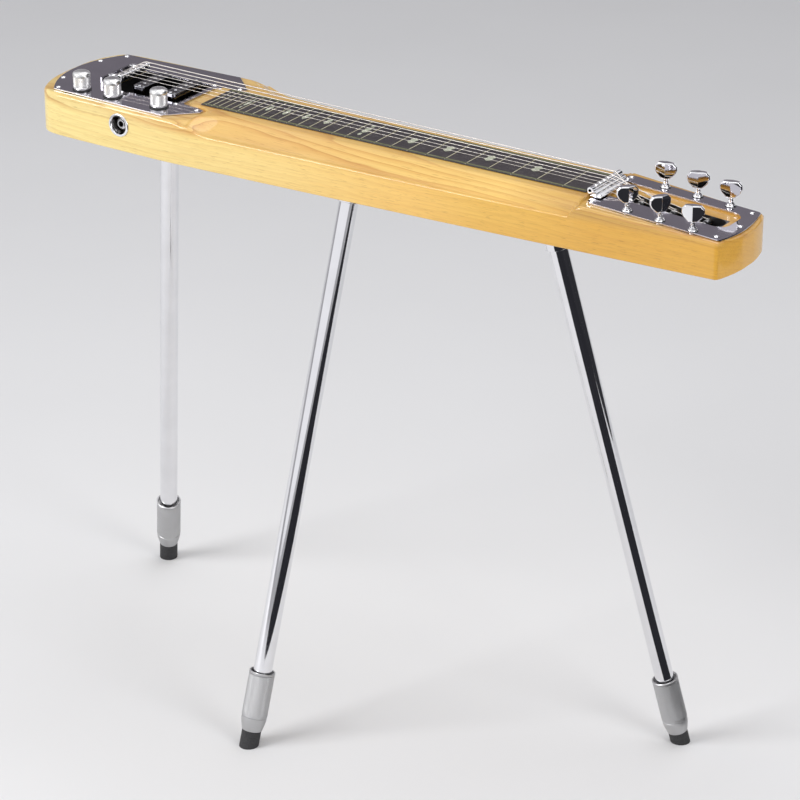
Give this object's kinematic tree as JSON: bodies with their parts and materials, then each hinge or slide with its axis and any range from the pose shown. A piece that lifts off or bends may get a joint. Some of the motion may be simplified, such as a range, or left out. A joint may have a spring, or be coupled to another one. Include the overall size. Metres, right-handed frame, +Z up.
{
  "type": "lap steel guitar",
  "caption": "Solid-wood lap steel guitar on splayed telescopic legs, with a scooped body, mirror plates, turning knobs, tuners and screw-on legs.",
  "frame": {"origin": "on the floor under the middle of the bounding box, feet at z 0", "axes": "+X along the strings from the bridge to the head, -Y the side with the knobs and the jack, +Z up"},
  "size_m": [0.8226, 0.325, 0.6702],
  "materials": {
    "lacquered_wood": "gloss lacquer over honey-coloured ash",
    "mirror_plate": "polished sheet",
    "board_black": "satin black",
    "chrome": "polished",
    "knurled_metal": "knurled, satin",
    "steel": "plain",
    "string_metal": "nickel wound",
    "pickup_black": "dark polished cover",
    "rubber": "matt",
    "brass": "plain"
  },
  "bodies": {
    "guitar": {"body": "lacquered_wood", "control_plate": "mirror_plate", "tuner_plate": "mirror_plate", "fretboard": "board_black", "nut_bracket": "chrome", "bridge_base": "chrome", "saddle_bar": "chrome", "pickup_1": "pickup_black", "pickup_2": "pickup_black", "jack_cup": "chrome", "jack_socket": "steel", "potentiometer_1": "steel", "potentiometer_2": "steel", "potentiometer_3": "steel", "string_1": "string_metal", "string_2": "string_metal", "string_3": "string_metal", "string_4": "string_metal", "string_5": "string_metal", "string_6": "string_metal", "tuner_housing_front_1": "chrome", "tuner_housing_front_2": "chrome", "tuner_housing_front_3": "chrome", "tuner_housing_back_1": "chrome", "tuner_housing_back_2": "chrome", "tuner_housing_back_3": "chrome", "leg_flange_a": "chrome", "leg_flange_b": "chrome", "leg_flange_c": "chrome", "leg_tube_a": "chrome", "leg_tube_b": "chrome", "leg_tube_c": "chrome"},
    "knob_1": {"knob_1": "knurled_metal", "pot_shaft_1": "brass"},
    "knob_2": {"knob_2": "knurled_metal", "pot_shaft_2": "brass"},
    "knob_3": {"knob_3": "knurled_metal", "pot_shaft_3": "brass"},
    "button_front_1": {"tuner_button_front_1": "chrome"},
    "roller_front_1": {"string_roller_front_1": "steel"},
    "button_front_2": {"tuner_button_front_2": "chrome"},
    "roller_front_2": {"string_roller_front_2": "steel"},
    "button_front_3": {"tuner_button_front_3": "chrome"},
    "roller_front_3": {"string_roller_front_3": "steel"},
    "button_back_1": {"tuner_button_back_1": "chrome"},
    "roller_back_1": {"string_roller_back_1": "steel"},
    "button_back_2": {"tuner_button_back_2": "chrome"},
    "roller_back_2": {"string_roller_back_2": "steel"},
    "button_back_3": {"tuner_button_back_3": "chrome"},
    "roller_back_3": {"string_roller_back_3": "steel"},
    "collar_a": {"leg_collar_a": "knurled_metal"},
    "rod_a": {"leg_rod_a": "steel", "leg_foot_a": "rubber"},
    "collar_b": {"leg_collar_b": "knurled_metal"},
    "rod_b": {"leg_rod_b": "steel", "leg_foot_b": "rubber"},
    "collar_c": {"leg_collar_c": "knurled_metal"},
    "rod_c": {"leg_rod_c": "steel", "leg_foot_c": "rubber"}
  },
  "joints": [
    {"name": "knob_1_turn", "type": "hinge", "parent": "guitar", "child": "knob_1", "pos_m": [-0.34614, -0.04152, 0.6468], "axis": [0, 0, 1], "range_deg": [-140, 140]},
    {"name": "knob_2_turn", "type": "hinge", "parent": "guitar", "child": "knob_2", "pos_m": [-0.30564, -0.04193, 0.6468], "axis": [0, 0, 1], "range_deg": [-140, 140]},
    {"name": "knob_3_turn", "type": "hinge", "parent": "guitar", "child": "knob_3", "pos_m": [-0.24634, -0.04101, 0.6468], "axis": [0, 0, 1], "range_deg": [-140, 140]},
    {"name": "button_front_1_turn", "type": "hinge", "parent": "guitar", "child": "button_front_1", "pos_m": [0.29966, -0.02758, 0.64454], "axis": [0, 0, 1], "continuous": true},
    {"name": "roller_front_1_turn", "type": "hinge", "parent": "guitar", "child": "roller_front_1", "pos_m": [0.29199, 0.01022, 0.63654], "axis": [0, 1, 0], "continuous": true},
    {"name": "button_front_2_turn", "type": "hinge", "parent": "guitar", "child": "button_front_2", "pos_m": [0.33536, -0.02758, 0.6424], "axis": [0, 0, 1], "continuous": true},
    {"name": "roller_front_2_turn", "type": "hinge", "parent": "guitar", "child": "roller_front_2", "pos_m": [0.32769, 0.01022, 0.6344], "axis": [0, 1, 0], "continuous": true},
    {"name": "button_front_3_turn", "type": "hinge", "parent": "guitar", "child": "button_front_3", "pos_m": [0.37106, -0.02758, 0.64026], "axis": [0, 0, 1], "continuous": true},
    {"name": "roller_front_3_turn", "type": "hinge", "parent": "guitar", "child": "roller_front_3", "pos_m": [0.36339, 0.01022, 0.63226], "axis": [0, 1, 0], "continuous": true},
    {"name": "button_back_1_turn", "type": "hinge", "parent": "guitar", "child": "button_back_1", "pos_m": [0.29966, 0.04802, 0.64454], "axis": [0, 0, 1], "continuous": true},
    {"name": "roller_back_1_turn", "type": "hinge", "parent": "guitar", "child": "roller_back_1", "pos_m": [0.29199, 0.01022, 0.63654], "axis": [0, 1, 0], "continuous": true},
    {"name": "button_back_2_turn", "type": "hinge", "parent": "guitar", "child": "button_back_2", "pos_m": [0.33536, 0.04802, 0.6424], "axis": [0, 0, 1], "continuous": true},
    {"name": "roller_back_2_turn", "type": "hinge", "parent": "guitar", "child": "roller_back_2", "pos_m": [0.32769, 0.01022, 0.6344], "axis": [0, 1, 0], "continuous": true},
    {"name": "button_back_3_turn", "type": "hinge", "parent": "guitar", "child": "button_back_3", "pos_m": [0.37106, 0.04802, 0.64026], "axis": [0, 0, 1], "continuous": true},
    {"name": "roller_back_3_turn", "type": "hinge", "parent": "guitar", "child": "roller_back_3", "pos_m": [0.36339, 0.01022, 0.63226], "axis": [0, 1, 0], "continuous": true},
    {"name": "collar_a_turn", "type": "hinge", "parent": "guitar", "child": "collar_a", "pos_m": [-0.27284, 0.01022, 0.5988], "axis": [-0.2034, 0.2252, -0.9528], "range_deg": [0, 180]},
    {"name": "rod_a_slide", "type": "slide", "parent": "guitar", "child": "rod_a", "axis": [-0.2034, 0.2252, -0.9528], "range_m": [0, 0.2]},
    {"name": "collar_b_turn", "type": "hinge", "parent": "guitar", "child": "collar_b", "pos_m": [-0.03934, 0.01022, 0.5988], "axis": [-0.047, -0.2607, -0.9643], "range_deg": [0, 180]},
    {"name": "rod_b_slide", "type": "slide", "parent": "guitar", "child": "rod_b", "axis": [-0.047, -0.2607, -0.9643], "range_m": [0, 0.2]},
    {"name": "collar_c_turn", "type": "hinge", "parent": "guitar", "child": "collar_c", "pos_m": [0.19416, 0.01022, 0.5988], "axis": [0.1869, 0.1549, -0.9701], "range_deg": [0, 180]},
    {"name": "rod_c_slide", "type": "slide", "parent": "guitar", "child": "rod_c", "axis": [0.1869, 0.1549, -0.9701], "range_m": [0, 0.2]}
  ],
  "couplings": [
    {"joint": "roller_front_1_turn", "follows": "button_front_1_turn", "ratio": 0.083333},
    {"joint": "roller_front_2_turn", "follows": "button_front_2_turn", "ratio": 0.083333},
    {"joint": "roller_front_3_turn", "follows": "button_front_3_turn", "ratio": 0.083333},
    {"joint": "roller_back_1_turn", "follows": "button_back_1_turn", "ratio": 0.083333},
    {"joint": "roller_back_2_turn", "follows": "button_back_2_turn", "ratio": 0.083333},
    {"joint": "roller_back_3_turn", "follows": "button_back_3_turn", "ratio": 0.083333}
  ]
}
